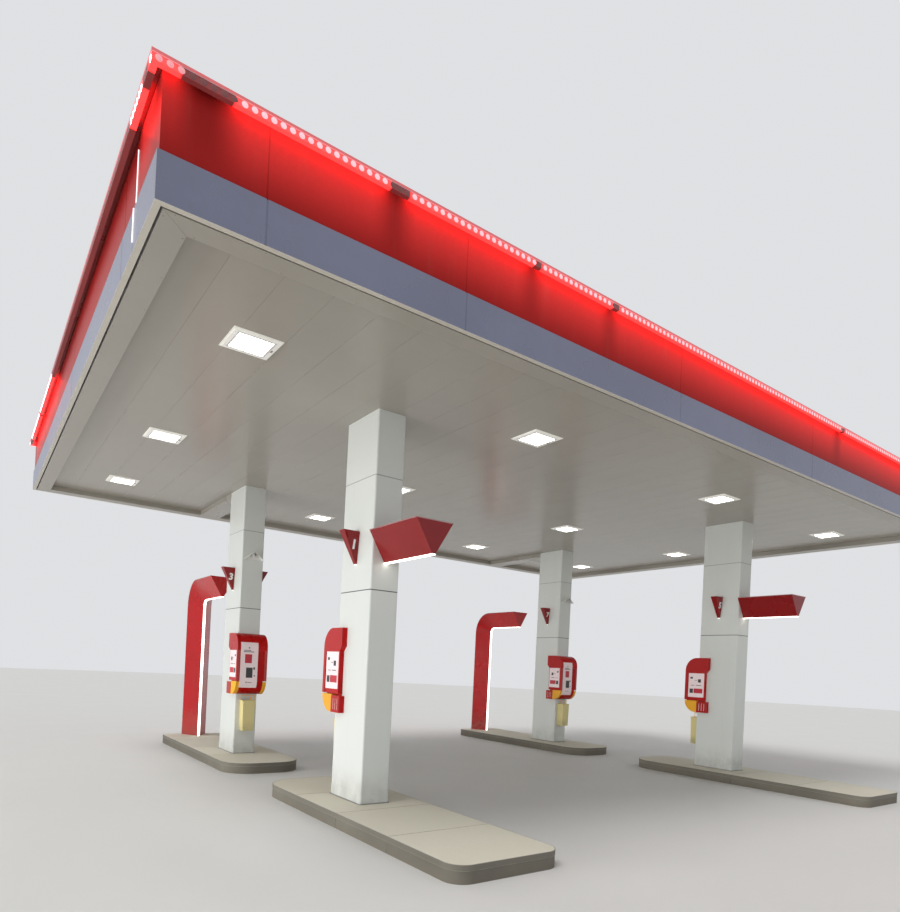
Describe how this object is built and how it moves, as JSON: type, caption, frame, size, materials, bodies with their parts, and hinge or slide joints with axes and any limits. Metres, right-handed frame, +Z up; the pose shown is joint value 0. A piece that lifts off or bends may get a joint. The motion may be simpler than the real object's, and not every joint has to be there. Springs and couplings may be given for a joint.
{
  "type": "filling station canopy",
  "caption": "Flat forecourt canopy with a lit red fascia on clad columns, each on a kerbed island with signs and service units.",
  "frame": {"origin": "on the ground under the centre of the roof", "axes": "+X along the front fascia to the right, +Y from the front fascia to the back, +Z up"},
  "size_m": [13.49, 9.911, 5.367],
  "materials": {
    "concrete": "trowelled, worn",
    "edging_steel": "galvanised, worn",
    "column_steel": "primed",
    "column_white": "satin",
    "roof_steel": "primed",
    "soffit_white": "semi-gloss",
    "galvanised": "galvanised",
    "drain_plastic": "matt",
    "fascia_red": "gloss",
    "band_silver": "satin",
    "visor_red": "gloss",
    "light_bar_lens": "lit, partly failed",
    "lamp_white": "satin",
    "lamp_lens": "lit diffuser",
    "sign_red": "gloss",
    "arch_red": "gloss",
    "unit_red": "gloss",
    "kit_yellow": "matt",
    "camera_white": "gloss"
  },
  "bodies": {
    "root": {"island_1": "concrete", "island_2": "concrete", "island_3": "concrete", "island_4": "concrete", "island_edging": "edging_steel", "column_1": "column_steel", "column_2": "column_steel", "column_3": "column_steel", "column_4": "column_steel", "cladding_1": "column_white", "cladding_2": "column_white", "cladding_3": "column_white", "cladding_4": "column_white", "main_beam_left": "roof_steel", "main_beam_right": "roof_steel", "purlins": "roof_steel", "soffit_pans": "soffit_white", "soffit_trim": "soffit_white", "gutter_back": "galvanised", "drain_covers": "soffit_white", "downpipes": "drain_plastic", "fascia_frame": "galvanised", "fascia_posts": "galvanised", "red_fascia_front": "fascia_red", "red_fascia_back": "fascia_red", "red_fascia_left": "fascia_red", "red_fascia_right": "fascia_red", "lower_band_front": "band_silver", "lower_band_back": "band_silver", "lower_band_left": "band_silver", "lower_band_right": "band_silver", "light_visor": "visor_red", "light_bar": "light_bar_lens", "luminaires": "lamp_white", "lamp_lenses": "lamp_lens", "wedge_sign_1": "sign_red", "wedge_sign_2": "sign_red", "arch_3": "arch_red", "arch_4": "arch_red", "number_flags_1": "sign_red", "number_flags_2": "sign_red", "number_flags_3": "sign_red", "number_flags_4": "sign_red", "service_unit_1": "unit_red", "service_unit_2": "unit_red", "service_unit_3": "unit_red", "service_unit_4": "unit_red", "washing_kits": "kit_yellow", "cameras": "camera_white"}
  },
  "joints": []
}
